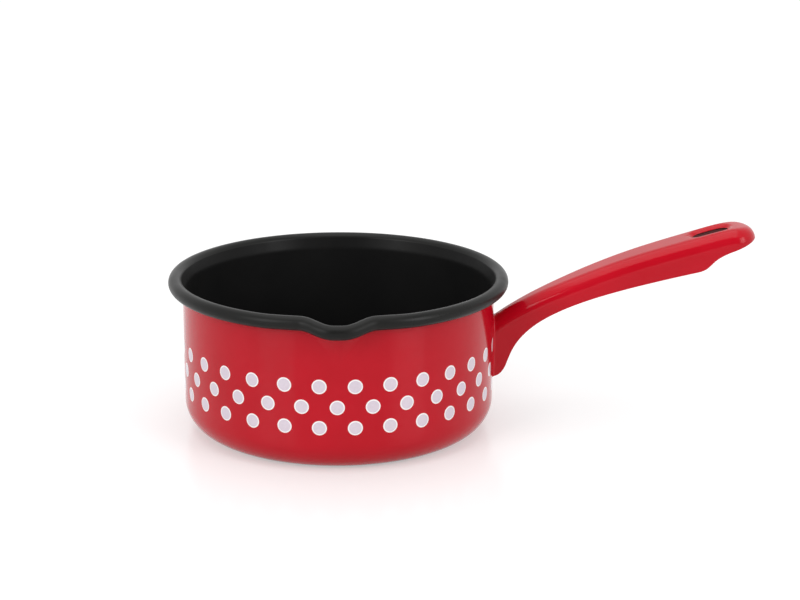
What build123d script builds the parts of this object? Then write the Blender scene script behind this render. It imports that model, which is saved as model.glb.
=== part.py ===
# Enamelled steel milk pan: a pressed bowl with a rolled rim and one pouring lip, its
# coats of enamel, three rows of dots and a pressed channel handle welded to the wall.
# Millimetres. The origin is the middle of the resting face, +Z is up, the handle points
# along +X and the lip along -Y.
from build123d import *
from math import acos, atan, cos, degrees, pi, radians, sin, sqrt, tan
import os

# Bowl
bowl_radius = 81.0              # outside of the wall, over its enamel
bowl_height = 81.3              # top of the rolled rim above the table
base_corner_radius = 15.0       # outside, over the enamel
steel_thickness = 0.9
enamel_thickness = 0.3
base_coat_angle = 15.0          # how far the coat under the base runs up the corner

# Rolled rim, a round bead curled outward from the wall
rim_bead_radius = 3.55          # over the enamel
rim_flare_angle = 20.0          # lean of the wall where it runs into the bead
rim_flare_radius = 6.0          # bend from the upright wall into that lean
rim_flare_length = 4.4          # outside of the wall from that bend to the bead, straight
curl_end_gap = 0.25             # from the curled edge to the wall's outer enamel
curl_tuck = 0.6                 # how far the wall's outer enamel runs up behind the bead

# Pouring lip
lip_reach = 5.0                 # how far the bead stands out at the lip
lip_drop = 3.0                  # how far it dips there
lip_flare_angle = 35.0
lip_flare_radius = 28.0
lip_foot_depth = 27.3           # below the rim's top, where the flute has run out into the wall
lip_nose_angle = 3.0            # half of the straight nose, seen from above
lip_half_angle = 10.8           # where the flanks meet the round rim
lip_margin_angle = 2.0          # round rim on both sides that is made with the lip
lip_flank_steps = 6
seam_tolerance = 0.005          # within which the lip's surfaces meet the turned ones
lip_turn_share = 0.5            # how far the sections turn with the flanks

# Dots, fired on over the red enamel
dot_radius = 3.7
dot_thickness = 0.12
dots_round_the_pan = 29
middle_row_depth = 46.5         # below the rim's top
row_pitch = 10.6
dot_phase_angle = -0.45         # of the middle row's dot nearest the lip

# Handle, a channel pressed from sheet, open below
handle_steel_thickness = 1.2
handle_reach = 138.0            # from the wall to the tip
handle_root_depth = 24.3        # of its crown line at the wall, below the rim's top
handle_rise = 49.0              # from there up to the highest point of the crown line
handle_root_half_width = 8.2
handle_grip_half_width = 14.5
handle_shoulder_radius = 7.5    # rounds the top of the channel into its sides
weld_leg = 1.0                  # along the wall and along the handle
weld_toe = 0.15                 # thickness left where the weld runs out on the handle
weld_angle = 45.0
hang_hole_length = 19.0
hang_hole_width = 9.6
hang_hole_place_share = 0.812   # of the reach, from the wall to the middle of the hole
hang_dish_width = 1.6           # the sheet dips towards the hole over this width
hang_dish_angle = 50.0          # of the dip, from the hole's axis
hang_dish_lead = 1.0            # the dip's slope carried on above the crown line
# Crown line as shares of the reach and of the rise, from inside the wall to the tip
crown_shares = [(-0.08, -0.18), (0.0, 0.0), (0.08, 0.148), (0.25, 0.390), (0.50, 0.676), (0.79, 0.927),
                (0.90, 0.998), (1.0, 0.985)]
# Lower edge of the sides, from the root to the corner before the tip, and on to the tip
side_edge_shares = [(0.028, -0.57), (0.038, -0.44), (0.07, -0.29), (0.14, -0.075), (0.23, 0.088),
                    (0.41, 0.296), (0.59, 0.44), (0.762, 0.558)]
tip_edge_shares = [(0.79, 0.595), (0.815, 0.665), (0.85, 0.73), (0.93, 0.815), (1.0, 0.86)]
root_foot_share = -0.635        # of the rise, down to the lowest point of the root
# Half width, as shares of the reach and of the way from the root's width to the grip's
width_shares = [(-0.1, 0.0), (0.0, 0.0), (0.12, 0.12), (0.30, 0.50), (0.55, 0.80)]

overrun = 5.0                   # one length by which cutting shapes pass what they cut

# Worked out from the above
half_sheet = steel_thickness / 2 + enamel_thickness
steel_side = steel_thickness / 2
wall_radius = bowl_radius - half_sheet
corner_radius = base_corner_radius - half_sheet
bead_radius = rim_bead_radius - half_sheet
outer_line = bead_radius - half_sheet       # from the bead's centre to the flared wall's outside
flare_lean = radians(rim_flare_angle)
flare_reach = (rim_flare_radius - half_sheet) * (1 - cos(flare_lean)) + rim_flare_length * sin(flare_lean)
bead_centre_radius = bowl_radius + flare_reach + outer_line * cos(flare_lean)
bead_centre_height = bowl_height - rim_bead_radius
lip_centre_height = bead_centre_height - lip_drop
lip_foot_height = bowl_height - lip_foot_depth
middle_row_height = bowl_height - middle_row_depth
handle_root_height = bowl_height - handle_root_depth
steel_surface_radius = bowl_radius - enamel_thickness
inner_enamel_side = -half_sheet
inner_steel_side = -steel_side
outer_steel_side = steel_side
outer_enamel_side = half_sheet


# Places across the sheet are given by side: zero at its middle, positive towards the outside.
def bead_radius_at(side):
    return bead_radius - side


def lip_share(angle):
    """How much of the lip's reach and drop the rim has at an angle from the lip's middle."""
    out = abs(angle) - lip_nose_angle
    flank = lip_half_angle - lip_nose_angle
    if out <= 0:
        return 1.0
    return 0.5 * (1 + cos(pi * out / flank)) if out < flank else 0.0


def lip_turn(angle):
    """Angle by which a section turns away from the pan's axis to face the flank."""
    out = abs(angle) - lip_nose_angle
    flank = lip_half_angle - lip_nose_angle
    if out <= 0 or out >= flank:
        return 0.0
    slope = 0.5 * pi / radians(flank) * sin(pi * out / flank) * lip_reach
    turn = lip_turn_share * degrees(atan(slope / (bead_centre_radius + lip_reach * lip_share(angle))))
    return turn if angle > 0 else -turn


def section_plane(angle):
    """Upright plane through the bead's centre line, local x pointing outward."""
    centre = bead_centre_radius + lip_reach * lip_share(angle)
    stand, face = radians(angle - 90), radians(angle - 90 + lip_turn(angle))
    return Plane(
        origin=(centre * cos(stand), centre * sin(stand), 0),
        x_dir=(cos(face), sin(face), 0),
        z_dir=(sin(face), -cos(face), 0),
    )


def between(plain, lip, angle):
    return plain + (lip - plain) * lip_share(angle)


def bead_point(angle, radius, turn):
    """A point on the bead in its section, with turn counted from the flared wall."""
    height = between(bead_centre_height, lip_centre_height, angle)
    way = radians(turn - between(rim_flare_angle, lip_flare_angle, angle))
    return (radius * cos(way), height + radius * sin(way))


def wall_points(angle, side):
    """Foot, bend start, bend middle, bend end and bead tangent of one side of the wall."""
    lean = radians(between(rim_flare_angle, lip_flare_angle, angle))
    bend = between(rim_flare_radius, lip_flare_radius, angle) - side
    centre = bead_centre_radius + lip_reach * lip_share(angle)
    along = centre * cos(radians(lip_turn(angle)))
    wall = -(along - sqrt(along**2 - centre**2 + (wall_radius + side) ** 2))
    tangent = bead_point(angle, bead_radius_at(side), 180)
    knee = tangent[1] - (tangent[0] - wall) / tan(lean)
    reach = bend * tan(lean / 2)
    start = (wall, knee - reach)
    middle = (wall + bend * (1 - cos(lean / 2)), start[1] + bend * sin(lean / 2))
    end = (wall + reach * sin(lean), knee + reach * cos(lean))
    return (wall, lip_foot_height), start, middle, end, tangent


def wall_line(angle, side, tuck=0.0):
    """Edges of one side of the wall, stopping short of the bead tangent by tuck."""
    foot, start, middle, end, tangent = wall_points(angle, side)
    lean = radians(between(rim_flare_angle, lip_flare_angle, angle))
    stop = (tangent[0] - tuck * sin(lean), tangent[1] - tuck * cos(lean))
    Line(foot, start)
    ThreePointArc(start, middle, end)
    Line(end, stop)
    return foot, stop


def curl_line(angle, side, turn_end):
    """The bead's round, from the wall over the top and back under, as two arcs."""
    radius = bead_radius_at(side)
    turns = [180 + (turn_end - 180) * share for share in (0, 0.25, 0.5, 0.75, 1)]
    points = [bead_point(angle, radius, turn) for turn in turns]
    ThreePointArc(*points[0:3])
    ThreePointArc(*points[2:5])
    return points[0], points[4]


def curl_stop(side, across):
    """Turn at which the bead's round comes back to a line beside the flared wall."""
    return -180 + degrees(acos(across / bead_radius_at(side)))


steel_curl_end = curl_stop(inner_steel_side, outer_line - curl_end_gap)
coat_curl_end = curl_stop(inner_enamel_side, outer_line)
coat_curl_inner_end = curl_stop(inner_steel_side, outer_line)
coat_inner_radius = bead_radius_at(inner_steel_side)
coat_tangent = coat_inner_radius * sin(acos(outer_line / coat_inner_radius))
outer_enamel_tuck = coat_tangent - curl_tuck * enamel_thickness

flank_step = (lip_half_angle - lip_nose_angle) / lip_flank_steps
lip_end_angle = lip_half_angle + lip_margin_angle
flank_angles = [lip_nose_angle + flank_step * step for step in range(lip_flank_steps + 1)]
half_angles = [*flank_angles, lip_end_angle]
lip_angles = [*[-angle for angle in reversed(half_angles)], 0, *half_angles]


def upper_section(kind, angle):
    """One layer of the wall and rim, cut through above the lip's foot."""
    with BuildSketch(section_plane(angle)) as section:
        with BuildLine():
            if kind == "steel":
                foot_in, _ = wall_line(angle, inner_steel_side)
                foot_out, _ = wall_line(angle, outer_steel_side)
                _, end_in = curl_line(angle, inner_steel_side, steel_curl_end)
                _, end_out = curl_line(angle, outer_steel_side, steel_curl_end)
                Line(end_in, end_out)
                Line(foot_in, foot_out)
            elif kind == "rim":
                start_out, end_out = curl_line(angle, inner_enamel_side, coat_curl_end)
                start_in, end_in = curl_line(angle, inner_steel_side, coat_curl_inner_end)
                Line(start_out, start_in)
                Line(end_out, end_in)
            else:
                sides = (inner_enamel_side, inner_steel_side)
                tuck = 0.0
                if kind == "outer":
                    sides, tuck = (outer_steel_side, outer_enamel_side), outer_enamel_tuck
                foot_a, stop_a = wall_line(angle, sides[0], tuck)
                foot_b, stop_b = wall_line(angle, sides[1], tuck)
                Line(foot_a, foot_b)
                Line(stop_a, stop_b)
        make_face()
    return section.sketch


def upper_layer(kind):
    """One layer above the lip's foot: lofted through the lip, turned round the rest, and
    closed into one solid along the two sections where the lengths meet."""
    sections = [upper_section(kind, angle) for angle in lip_angles]
    through_lip = loft(sections)
    round_rest = revolve(sections[-1], axis=Axis.Z, revolution_arc=360 - 2 * lip_end_angle)
    seams = [section.faces()[0].center() for section in (sections[0], sections[-1])]
    skin = []
    for face in (*through_lip.faces(), *round_rest.faces()):
        if min((face.center() - seam).length for seam in seams) > seam_tolerance:
            skin.append(face)
    return Solid(Shell(skin))


def corner_point(side, turn):
    """A point on the base corner of one side of the sheet, turn counted up from the base."""
    radius = corner_radius + side
    way = radians(turn)
    return (wall_radius - corner_radius + radius * sin(way), half_sheet - side + radius * (1 - cos(way)))


def lower_line(side, turn_from, turn_to, to_axis, to_wall):
    """One side of the sheet below the lip's foot, or a stretch of it."""
    ends = [corner_point(side, turn) for turn in (turn_from, turn_to)]
    ThreePointArc(ends[0], corner_point(side, (turn_from + turn_to) / 2), ends[1])
    if to_axis:
        Line((0, half_sheet - side), ends[0])
        ends[0] = (0, half_sheet - side)
    if to_wall:
        top = (wall_radius + side, lip_foot_height)
        Line(ends[1], top)
        ends[1] = top
    return ends


def lower_layer(sides, turn_from=0.0, turn_to=90.0, to_axis=True, to_wall=True):
    """One layer below the lip's foot, turned all the way round."""
    with BuildPart() as layer:
        with BuildSketch(Plane.XZ):
            with BuildLine():
                first = lower_line(sides[0], turn_from, turn_to, to_axis, to_wall)
                second = lower_line(sides[1], turn_from, turn_to, to_axis, to_wall)
                Line(first[0], second[0])
                Line(first[1], second[1])
            make_face()
        revolve(axis=Axis.Z)
    return layer.part


# Handle shapes. The side view is drawn on XZ and the plan on XY.
tip_x = bowl_radius + handle_reach
root_inside = bowl_radius - 2 * overrun
root_foot_height = handle_root_height + handle_rise * root_foot_share


def handle_point(shares):
    return (bowl_radius + handle_reach * shares[0], handle_root_height + handle_rise * shares[1])


def handle_half_width(shares, inset):
    width = handle_root_half_width + (handle_grip_half_width - handle_root_half_width) * shares[1]
    return (bowl_radius + handle_reach * shares[0], width - inset)


def crown_points(inset):
    """The crown line's points, moved square to it by inset."""
    points = [handle_point(shares) for shares in crown_shares]
    moved = []
    for place, (x, z) in enumerate(points):
        before, after = points[max(place - 1, 0)], points[min(place + 1, len(points) - 1)]
        slope = atan((after[1] - before[1]) / (after[0] - before[0]))
        moved.append((x + inset * sin(slope), z - inset * cos(slope)))
    return moved


hole_x = bowl_radius + handle_reach * hang_hole_place_share
crown_before = handle_point(crown_shares[-3])
crown_after = handle_point(crown_shares[-2])
hole_slope = degrees(atan((crown_after[1] - crown_before[1]) / (crown_after[0] - crown_before[0])))
hole_z = crown_before[1] + (hole_x - crown_before[0]) * tan(radians(hole_slope))
hole_plane = Plane(
    origin=(hole_x, 0, hole_z),
    x_dir=(cos(radians(hole_slope)), 0, sin(radians(hole_slope))),
    z_dir=(-sin(radians(hole_slope)), 0, cos(radians(hole_slope))),
)


def handle_form(inset):
    """The handle's outside drawn in by inset, solid, and still running on below and into the wall."""
    with BuildPart() as form:
        with BuildSketch(Plane.XZ):
            with BuildLine():
                crown = Spline(*crown_points(inset))
                Polyline(
                    crown @ 1,
                    ((crown @ 1).X + overrun, (crown @ 1).Y),
                    ((crown @ 1).X + overrun, 0),
                    ((crown @ 0).X, 0),
                    crown @ 0,
                )
            make_face()
        extrude(amount=handle_grip_half_width + overrun, both=True)
        with BuildSketch(Plane.XY):
            with BuildLine():
                grip_end = tip_x - handle_grip_half_width
                side = Spline(
                    *[handle_half_width(shares, inset) for shares in width_shares],
                    (grip_end, handle_grip_half_width - inset),
                    tangents=((1, 0), (1, 0)),
                )
                CenterArc((grip_end, 0), handle_grip_half_width - inset, 0, 90)
                Line(((side @ 0).X, 0), side @ 0)
                mirror(about=Plane.XZ)
            make_face()
        extrude(amount=bowl_height + handle_rise, mode=Mode.INTERSECT)
        top_edges = form.faces().sort_by(Axis.Z)[-1].edges().sort_by(Axis.X)[1:]
        fillet(top_edges, radius=handle_shoulder_radius - inset)
        dip_width = hang_dish_width + hang_dish_lead * tan(radians(hang_dish_angle))
        with BuildSketch(hole_plane.offset(hang_dish_lead - inset)):
            SlotOverall(hang_hole_length + 2 * dip_width, hang_hole_width + 2 * dip_width)
        dip_depth = dip_width / tan(radians(hang_dish_angle))
        extrude(amount=-dip_depth, taper=hang_dish_angle, mode=Mode.SUBTRACT)
    return form.part


def handle_trim():
    """What the sides' lower edge and the wall leave of the handle, with the hanging hole cut."""
    with BuildPart() as trim:
        with BuildSketch(Plane.XZ):
            with BuildLine():
                side_edge = Spline(*[handle_point(shares) for shares in side_edge_shares])
                tip_edge = Spline(side_edge @ 1, *[handle_point(shares) for shares in tip_edge_shares])
                foot = (root_inside, root_foot_height)
                top = handle_root_height + handle_rise + overrun
                Line(foot, ((side_edge @ 0).X - weld_leg, foot[1]))
                Line(((side_edge @ 0).X - weld_leg, foot[1]), side_edge @ 0)
                tip = tip_edge @ 1
                Polyline(tip, (tip_x + overrun, tip.Y), (tip_x + overrun, top), (root_inside, top), foot)
            make_face()
        extrude(amount=handle_grip_half_width + overrun, both=True)
        with BuildSketch(Plane.XY):
            Circle(steel_surface_radius)
        extrude(amount=bowl_height + handle_rise, mode=Mode.SUBTRACT)
        with BuildSketch(hole_plane):
            SlotOverall(hang_hole_length, hang_hole_width)
        extrude(amount=handle_rise, both=True, mode=Mode.SUBTRACT)
    return trim.part


coat_inset = enamel_thickness
lining_inset = coat_inset + handle_steel_thickness
hollow_inset = lining_inset + enamel_thickness
forms = [handle_form(inset) for inset in (0, coat_inset, lining_inset, hollow_inset)]
trim = handle_trim()

with BuildPart() as handle_enamel:
    add(forms[0])
    add(forms[1], mode=Mode.SUBTRACT)
    add(trim, mode=Mode.INTERSECT)

with BuildPart() as handle:
    add(forms[1])
    add(forms[2], mode=Mode.SUBTRACT)
    add(trim, mode=Mode.INTERSECT)

with BuildPart() as handle_lining:
    add(forms[2])
    add(forms[3], mode=Mode.SUBTRACT)
    add(trim, mode=Mode.INTERSECT)

with BuildPart() as handle_weld:
    weld_end_x = bowl_radius + weld_leg
    crown_after_root = handle_point(crown_shares[2])
    crown_rise = (crown_after_root[1] - handle_root_height) / (crown_after_root[0] - bowl_radius)
    weld_top = handle_root_height + weld_leg * crown_rise + weld_toe
    with BuildSketch(Plane.YZ.offset(weld_end_x)) as weld_outline:
        with Locations((0, (weld_top + root_foot_height) / 2)):
            Rectangle(2 * (handle_root_half_width + weld_toe), weld_top - root_foot_height)
        fillet(weld_outline.vertices().group_by(Axis.Z)[-1], radius=handle_shoulder_radius)
    extrude(amount=-(weld_leg + overrun), taper=-weld_angle)
    add(forms[0], mode=Mode.SUBTRACT)
    add(trim, mode=Mode.INTERSECT)


def cut_for_handle(layer):
    """A layer with the place of the handle's root taken out."""
    for piece in (handle_enamel, handle, handle_lining, handle_weld):
        layer = layer.cut(piece.part)
    return layer


steel_sides = (inner_steel_side, outer_steel_side)
inner_coat_sides = (inner_enamel_side, inner_steel_side)
outer_coat_sides = (outer_steel_side, outer_enamel_side)
outer_lower_layer = cut_for_handle(lower_layer(outer_coat_sides, turn_from=base_coat_angle, to_axis=False))
outer_upper_layer = cut_for_handle(upper_layer("outer"))
steel_layer = lower_layer(steel_sides).fuse(upper_layer("steel"), tol=seam_tolerance)
inner_layer = lower_layer(inner_coat_sides).fuse(upper_layer("inner"), tol=seam_tolerance)
outer_layer = outer_lower_layer.fuse(*outer_upper_layer.solids(), tol=seam_tolerance)
rim_layer = upper_layer("rim")
base_layer = lower_layer(outer_coat_sides, turn_to=base_coat_angle, to_wall=False)

with BuildPart() as bowl:
    add(steel_layer)

with BuildPart() as inner_enamel:
    add(inner_layer)

with BuildPart() as rim_enamel:
    add(rim_layer)

with BuildPart() as outer_enamel:
    add(outer_layer)

with BuildPart() as base_enamel:
    add(base_layer)

# One dot, on the wall where it crosses +X, at table height
dot_sweep_angle = 2 * degrees(atan(2 * dot_radius / bowl_radius))
with BuildPart() as dot:
    with BuildSketch(Plane.XZ.rotated((0, 0, -dot_sweep_angle / 2))):
        with Locations((bowl_radius + dot_thickness / 2, 0)):
            Rectangle(dot_thickness, 4 * dot_radius)
    revolve(axis=Axis.Z, revolution_arc=dot_sweep_angle)
    with BuildSketch(Plane.YZ):
        Circle(dot_radius)
    extrude(amount=bowl_radius + overrun, mode=Mode.INTERSECT)

dot_step = 360 / dots_round_the_pan
root_clear_angle = degrees(atan((handle_root_half_width + weld_leg + dot_radius) / bowl_radius))


def row_angles(height, phase):
    """Angles of a row's dots, without those that the handle's root covers."""
    angles = [phase + dot_step * count for count in range(dots_round_the_pan)]
    if height + dot_radius < root_foot_height:
        return angles
    return [angle for angle in angles if abs((angle + 180) % 360 - 180) > root_clear_angle]


def dot_row(height, phase):
    with Locations(*[Location((0, 0, height), (0, 0, angle)) for angle in row_angles(height, phase)]):
        add(dot.part)


with BuildPart() as upper_dots:
    dot_row(middle_row_height + row_pitch, dot_phase_angle - 90 + dot_step / 2)

with BuildPart() as middle_dots:
    dot_row(middle_row_height, dot_phase_angle - 90)

with BuildPart() as lower_dots:
    dot_row(middle_row_height - row_pitch, dot_phase_angle - 90 + dot_step / 2)

pieces = {
    "bowl": bowl,
    "inner_enamel": inner_enamel,
    "outer_enamel": outer_enamel,
    "rim_enamel": rim_enamel,
    "base_enamel": base_enamel,
    "upper_dots": upper_dots,
    "middle_dots": middle_dots,
    "lower_dots": lower_dots,
    "handle": handle,
    "handle_enamel": handle_enamel,
    "handle_lining": handle_lining,
    "handle_weld": handle_weld,
}
os.makedirs("parts", exist_ok=True)
for name, piece in pieces.items():
    piece.part.label = name
    export_step(piece.part, f"parts/{name}.step")
    print(name, len(piece.part.solids()), "solids", round(piece.part.volume), "mm3")
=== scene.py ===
"""Looks of the enamelled milk pan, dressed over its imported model.

Sizes are in millimetres and become metres where a mesh is made. The frame is the model's own:
the origin is the middle of the resting face, +Z is up, the handle points along +X and the lip
along -Y. Angles round the pan are in degrees, counted from the lip towards the handle.
"""

import logging
from bisect import bisect_right
from contextlib import contextmanager
from dataclasses import dataclass, field
from enum import Enum
from math import acos, asin, atan, atan2, cos, degrees, hypot, pi, radians, sin, sqrt, tan
from typing import Iterator, Optional, Sequence, Union

import bpy
from mathutils import Matrix, Vector


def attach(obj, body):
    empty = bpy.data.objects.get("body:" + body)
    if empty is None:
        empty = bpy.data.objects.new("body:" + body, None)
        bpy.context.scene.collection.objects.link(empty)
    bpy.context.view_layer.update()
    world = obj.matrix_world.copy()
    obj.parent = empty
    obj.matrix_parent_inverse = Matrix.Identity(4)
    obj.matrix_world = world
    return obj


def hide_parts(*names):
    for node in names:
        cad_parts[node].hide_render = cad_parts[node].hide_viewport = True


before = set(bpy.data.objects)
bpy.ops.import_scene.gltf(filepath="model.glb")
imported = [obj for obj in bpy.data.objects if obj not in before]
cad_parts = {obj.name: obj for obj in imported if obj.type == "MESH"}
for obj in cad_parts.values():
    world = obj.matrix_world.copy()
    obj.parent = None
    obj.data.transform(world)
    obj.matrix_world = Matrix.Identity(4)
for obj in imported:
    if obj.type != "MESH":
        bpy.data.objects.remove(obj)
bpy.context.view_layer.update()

MM = 0.001
SAME_PLACE = 1e-6
BODY = "root"
Colour = tuple[float, float, float]
Place = tuple[float, float, float]
Shares = tuple[tuple[float, float], ...]
Inputs = dict[Union[str, int], object]
log = logging.getLogger("milk_pan")


# Modelling by hand


class Bench:
    """The few moves with which every piece here is modelled."""

    @staticmethod
    def clear() -> None:
        """Leaves nothing selected and no piece in edit mode."""
        if bpy.context.object and bpy.context.object.mode != "OBJECT":
            bpy.ops.object.mode_set(mode="OBJECT")
        bpy.ops.object.select_all(action="DESELECT")

    @staticmethod
    def take(piece: bpy.types.Object) -> None:
        """Selects one piece alone.

        Args:
            piece: The piece to work on next.
        """
        Bench.clear()
        piece.select_set(True)
        bpy.context.view_layer.objects.active = piece

    @staticmethod
    @contextmanager
    def editing(piece: bpy.types.Object) -> Iterator[None]:
        """Opens a piece in edit mode, all of it selected, and closes it after the work.

        Args:
            piece: The piece to work on.

        Yields:
            Nothing, while the piece is open.
        """
        Bench.take(piece)
        bpy.ops.object.mode_set(mode="EDIT")
        bpy.ops.mesh.select_all(action="SELECT")
        yield
        bpy.ops.object.mode_set(mode="OBJECT")

    @staticmethod
    def line(name: str, points: Sequence[Vector], closed: bool) -> bpy.types.Object:
        """Draws a line of vertices, one extrusion after another.

        Args:
            name: Name of the new piece.
            points: Places in metres, in the order of the stations.
            closed: Whether the last vertex is joined to the first.

        Returns:
            The piece, whose vertices hold their place in the line as "station".
        """
        Bench.clear()
        bpy.ops.mesh.primitive_plane_add(size=MM, location=points[0])
        piece = bpy.context.object
        piece.name = piece.data.name = name
        bpy.ops.object.transform_apply(location=True, rotation=True, scale=True)
        with Bench.editing(piece):
            bpy.ops.mesh.merge(type="CENTER")
        with Bench.editing(piece):
            for before, after in zip(points, points[1:]):
                bpy.ops.mesh.extrude_vertices_move(TRANSFORM_OT_translate={"value": after - before})
        mesh = piece.data
        if closed:
            for vertex in mesh.vertices:
                vertex.select = vertex.index in (0, len(points) - 1)
            bpy.ops.object.mode_set(mode="EDIT")
            bpy.ops.mesh.edge_face_add()
            bpy.ops.object.mode_set(mode="OBJECT")
        station = mesh.attributes.new("station", "INT", "POINT")
        station.data.foreach_set("value", range(len(points)))
        return piece

    @staticmethod
    def spin(piece: bpy.types.Object, steps: int) -> None:
        """Spins a drawn line all the way round the pan's axis and closes it.

        Args:
            piece: The drawn line.
            steps: How many columns the turned surface has.
        """
        with Bench.editing(piece):
            bpy.ops.mesh.spin(steps=steps, angle=2 * pi, center=(0, 0, 0), axis=(0, 0, 1))
            bpy.ops.mesh.select_all(action="SELECT")
            bpy.ops.mesh.remove_doubles(threshold=SAME_PLACE)

    @staticmethod
    def sheet(name: str, rows: Sequence[Sequence[Vector]]) -> bpy.types.Object:
        """Presses a flat grid of sheet into a shape.

        Args:
            name: Name of the new piece.
            rows: For each row of vertices, its places in millimetres.

        Returns:
            The piece.
        """
        Bench.clear()
        columns = len(rows[0])
        bpy.ops.mesh.primitive_grid_add(x_subdivisions=columns - 1, y_subdivisions=len(rows) - 1, size=1)
        piece = bpy.context.object
        piece.name = piece.data.name = name
        for vertex in piece.data.vertices:
            row, column = divmod(vertex.index, columns)
            vertex.co = rows[row][column] * MM
        return piece

    @staticmethod
    def weld_doubles(piece: bpy.types.Object, threshold: float) -> None:
        """Joins vertices that lie on each other and drops faces left without an area.

        Args:
            piece: The piece to clean.
            threshold: Largest distance between joined vertices, in metres.
        """
        with Bench.editing(piece):
            bpy.ops.mesh.remove_doubles(threshold=threshold)
            bpy.ops.mesh.dissolve_degenerate(threshold=threshold / 2)

    @staticmethod
    def face_out(piece: bpy.types.Object, smooth_angle: float = 38.0) -> None:
        """Turns every face outward and shades the piece smooth up to an angle.

        Args:
            piece: The piece to finish.
            smooth_angle: Edges that turn by more than this stay sharp, in degrees.
        """
        with Bench.editing(piece):
            bpy.ops.mesh.normals_make_consistent(inside=False)
        bpy.ops.object.shade_smooth_by_angle(angle=radians(smooth_angle))

    @staticmethod
    def apply(piece: bpy.types.Object, kind: str, **settings: object) -> None:
        """Adds a modifier, sets it and applies it.

        Args:
            piece: The piece to change.
            kind: Blender's name of the modifier.
            **settings: The modifier's settings.
        """
        Bench.take(piece)
        modifier = piece.modifiers.new(kind.title(), kind)
        for name, value in settings.items():
            setattr(modifier, name, value)
        bpy.ops.object.modifier_apply(modifier=modifier.name)


# Finishes


class Nodes:
    """The node tree of a material or of the world, with short ways to add to it."""

    def __init__(self, owner: bpy.types.ID) -> None:
        """Empties the tree.

        Args:
            owner: The new material or world.
        """
        owner.use_nodes = True
        self.owner = owner
        self.tree = owner.node_tree
        self.tree.nodes.clear()

    def fill(self, node: bpy.types.Node, inputs: Inputs) -> None:
        """Fills inputs of a node.

        Args:
            node: The node.
            inputs: For an input's name or number, its value or the socket that gives it.
        """
        for name, value in inputs.items():
            if isinstance(value, bpy.types.NodeSocket):
                self.tree.links.new(value, node.inputs[name])
            else:
                node.inputs[name].default_value = value

    def add(self, kind: str, inputs: Inputs) -> bpy.types.Node:
        """Adds a node and fills its inputs.

        Args:
            kind: Blender's name of the node, without its "ShaderNode".
            inputs: For an input's name or number, its value or the socket that gives it.

        Returns:
            The node.
        """
        node = self.tree.nodes.new(f"ShaderNode{kind}")
        self.fill(node, inputs)
        return node

    def surface(self, shader: bpy.types.Node) -> bpy.types.ID:
        """Gives the last shader to the surface.

        Args:
            shader: The shader's node.

        Returns:
            The material or world.
        """
        kind = "OutputWorld" if isinstance(self.owner, bpy.types.World) else "OutputMaterial"
        self.add(kind, {"Surface": shader.outputs[0]})
        return self.owner

    def noise(self, scale: float, detail: float = 2.0, rough: float = 0.5) -> bpy.types.NodeSocket:
        """Adds a cloudy pattern over the piece.

        Args:
            scale: Clouds per metre.
            detail: How many finer layers it has.
            rough: How strong the finer layers are.

        Returns:
            The pattern, from 0 to 1.
        """
        place = self.add("TexCoord", {}).outputs["Object"]
        inputs = {"Scale": scale, "Detail": detail, "Roughness": rough, "Vector": place}
        return self.add("TexNoise", inputs).outputs["Fac"]

    def spread(self, value: bpy.types.NodeSocket, low: float, high: float, to_low: float,
               to_high: float) -> bpy.types.NodeSocket:
        """Maps a value from one range to another.

        Args:
            value: What is mapped.
            low: Start of its range.
            high: End of its range.
            to_low: What the start becomes.
            to_high: What the end becomes.

        Returns:
            The mapped value.
        """
        inputs = {"Value": value, "From Min": low, "From Max": high, "To Min": to_low, "To Max": to_high}
        return self.add("MapRange", inputs).outputs["Result"]

    def blend(self, share: bpy.types.NodeSocket, first: object, second: object) -> bpy.types.NodeSocket:
        """Mixes two colours.

        Args:
            share: How much of the second there is.
            first: A colour, or a socket that gives one.
            second: A colour, or a socket that gives one.

        Returns:
            The mixed colour.
        """
        node = self.add("Mix", {})
        node.data_type = "RGBA"
        colours = [(*colour, 1.0) if isinstance(colour, tuple) else colour for colour in (first, second)]
        self.fill(node, {"Factor": share, 6: colours[0], 7: colours[1]})
        return node.outputs[2]

    def bump(self, layers: Sequence[tuple[bpy.types.NodeSocket, float]]) -> bpy.types.NodeSocket:
        """Stacks bumps on each other.

        Args:
            layers: Heights from 0 to 1, each with the depth of its relief in metres.

        Returns:
            The direction of the bumped surface.
        """
        below: Inputs = {}
        for height, depth in layers:
            node = self.add("Bump", {"Strength": 1.0, "Distance": depth, "Height": height, **below})
            below = {"Normal": node.outputs["Normal"]}
        return node.outputs["Normal"]


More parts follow.
